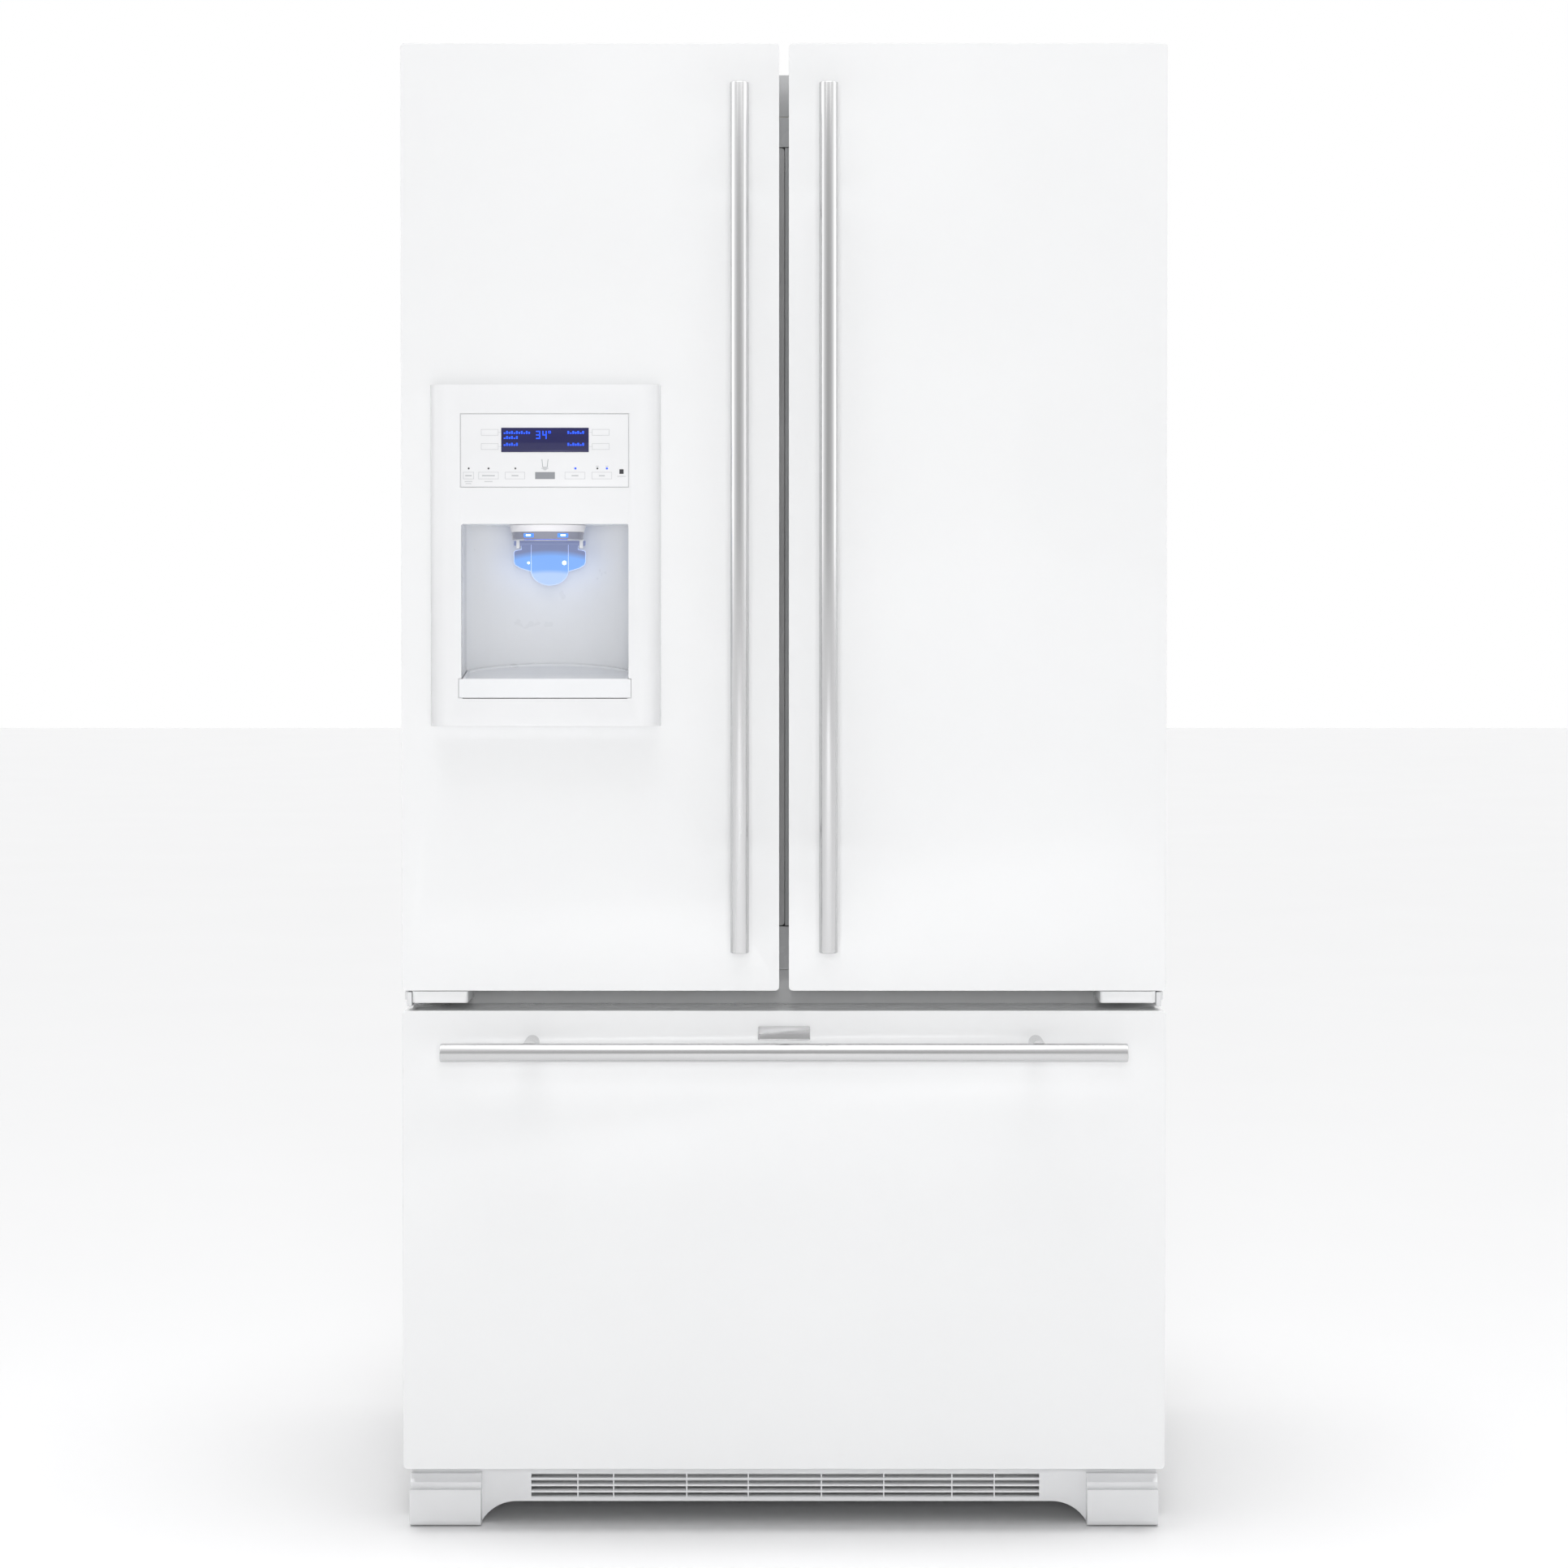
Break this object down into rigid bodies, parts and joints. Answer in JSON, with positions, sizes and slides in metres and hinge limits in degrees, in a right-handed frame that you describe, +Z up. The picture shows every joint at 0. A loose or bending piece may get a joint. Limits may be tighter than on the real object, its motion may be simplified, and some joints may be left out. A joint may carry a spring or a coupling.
{
  "type": "french door refrigerator",
  "caption": "Free-standing refrigerator with two swinging upper doors, a door ice and water dispenser, and a pull-out bottom freezer drawer with bar handles.",
  "frame": {"origin": "centre of the bounding box at floor level", "axes": "+Z up, -Y towards the doors' front, +X to the right of a person who faces the doors"},
  "size_m": [0.905, 0.786, 1.778],
  "materials": {
    "white_enamel": "gloss",
    "cabinet_paint": "satin",
    "galvanised_steel": "satin",
    "stainless_steel": null,
    "badge_chrome": null,
    "foam": null,
    "liner_plastic": null,
    "white_plastic": null,
    "dispenser_plastic": null,
    "gasket_rubber": null,
    "flap_plastic": null,
    "clear_plastic": null,
    "shelf_glass": null,
    "paddle_plastic": null,
    "wire_coating": "gloss",
    "black_paint": "satin",
    "dark_plastic": null,
    "fibreboard": null,
    "copper_tube": null,
    "fin_aluminium": null,
    "roller_nylon": null
  },
  "bodies": {
    "cabinet": {"cabinet_shell": "cabinet_paint", "rear_panel": "galvanised_steel", "cabinet_insulation": "foam", "fresh_food_liner": "liner_plastic", "freezer_liner": "liner_plastic", "divider_rail": "cabinet_paint", "top_hinges": "galvanised_steel", "top_hinge_covers": "white_plastic", "center_hinges": "white_enamel", "base_pan": "galvanised_steel", "base_grille": "white_plastic", "leveling_feet": "dark_plastic", "compressor": "black_paint", "condenser_coil": "black_paint", "fan_bracket": "dark_plastic", "machine_cover": "fibreboard", "evaporator": "fin_aluminium", "evaporator_cover": "liner_plastic", "air_tower": "liner_plastic", "shelf_standards": "galvanised_steel", "shelf_frames": "white_plastic", "shelf_glass": "shelf_glass", "ice_maker": "white_plastic", "water_filter": "white_plastic", "freezer_rails": "galvanised_steel"},
    "left_door": {"left_door_skin": "white_enamel", "left_door_liner": "liner_plastic", "left_door_gasket": "gasket_rubber", "left_handle_bar": "stainless_steel", "left_handle_posts": "stainless_steel", "dispenser_bezel": "white_plastic", "dispenser_recess": "dispenser_plastic", "control_panel": "white_plastic", "ice_chute": "dispenser_plastic", "left_door_bins": "clear_plastic", "ice_bin": "clear_plastic"},
    "right_door": {"right_door_skin": "white_enamel", "right_door_liner": "liner_plastic", "right_door_gasket": "gasket_rubber", "right_handle_bar": "stainless_steel", "right_handle_posts": "stainless_steel", "right_door_bins": "clear_plastic"},
    "mullion_flap": {"mullion_flap": "flap_plastic"},
    "dispenser_paddle": {"dispenser_paddle": "paddle_plastic"},
    "drip_tray": {"drip_tray": "dispenser_plastic"},
    "freezer_drawer": {"drawer_skin": "white_enamel", "drawer_liner": "liner_plastic", "drawer_gasket": "gasket_rubber", "drawer_handle_bar": "stainless_steel", "drawer_handle_posts": "stainless_steel", "badge": "badge_chrome", "drawer_slides": "galvanised_steel", "lower_basket": "wire_coating"},
    "slide_middles": {"slide_middles": "galvanised_steel"},
    "upper_basket": {"upper_basket": "wire_coating"},
    "left_crisper": {"left_crisper": "clear_plastic"},
    "right_crisper": {"right_crisper": "clear_plastic"},
    "pantry_drawer": {"pantry_drawer": "clear_plastic"},
    "condenser_fan": {"condenser_fan": "dark_plastic"},
    "rear_rollers": {"rear_rollers": "roller_nylon"}
  },
  "joints": [
    {"name": "left_door_swing", "type": "hinge", "parent": "cabinet", "child": "left_door", "pos_m": [-0.43, -0.28, 0], "axis": [0, 0, -1], "range_deg": [0, 130]},
    {"name": "right_door_swing", "type": "hinge", "parent": "cabinet", "child": "right_door", "pos_m": [0.43, -0.28, 0], "axis": [0, 0, 1], "range_deg": [0, 130]},
    {"name": "mullion_fold", "type": "hinge", "parent": "left_door", "child": "mullion_flap", "pos_m": [-0.03, -0.217, 0], "axis": [0, 0, 1], "range_deg": [0, 90]},
    {"name": "paddle_push", "type": "hinge", "parent": "left_door", "child": "dispenser_paddle", "pos_m": [-0.2815, -0.25, 1.178], "axis": [1, 0, 0], "range_deg": [0, 18], "stiffness_Nm_per_rad": 0.4},
    {"name": "drip_tray_slide", "type": "slide", "parent": "left_door", "child": "drip_tray", "axis": [0, -1, 0], "range_m": [0, 0.06]},
    {"name": "freezer_drawer_slide", "type": "slide", "parent": "cabinet", "child": "freezer_drawer", "axis": [0, -1, 0], "range_m": [0, 0.42]},
    {"name": "slide_middles_travel", "type": "slide", "parent": "cabinet", "child": "slide_middles", "axis": [0, -1, 0], "range_m": [0, 0.21]},
    {"name": "upper_basket_slide", "type": "slide", "parent": "freezer_drawer", "child": "upper_basket", "axis": [0, 1, 0], "range_m": [0, 0.15]},
    {"name": "left_crisper_slide", "type": "slide", "parent": "cabinet", "child": "left_crisper", "axis": [0, -1, 0], "range_m": [0, 0.115]},
    {"name": "right_crisper_slide", "type": "slide", "parent": "cabinet", "child": "right_crisper", "axis": [0, -1, 0], "range_m": [0, 0.115]},
    {"name": "pantry_drawer_slide", "type": "slide", "parent": "cabinet", "child": "pantry_drawer", "axis": [0, -1, 0], "range_m": [0, 0.115]},
    {"name": "condenser_fan_spin", "type": "hinge", "parent": "cabinet", "child": "condenser_fan", "pos_m": [0.014, 0.295, 0.16], "axis": [1, 0, 0], "continuous": true},
    {"name": "rear_roller_spin", "type": "hinge", "parent": "cabinet", "child": "rear_rollers", "pos_m": [0, 0.33, 0.02], "axis": [1, 0, 0], "continuous": true}
  ],
  "couplings": [
    {"joint": "mullion_fold", "follows": "left_door_swing", "ratio": 0.69231},
    {"joint": "slide_middles_travel", "follows": "freezer_drawer_slide", "ratio": 0.5}
  ]
}
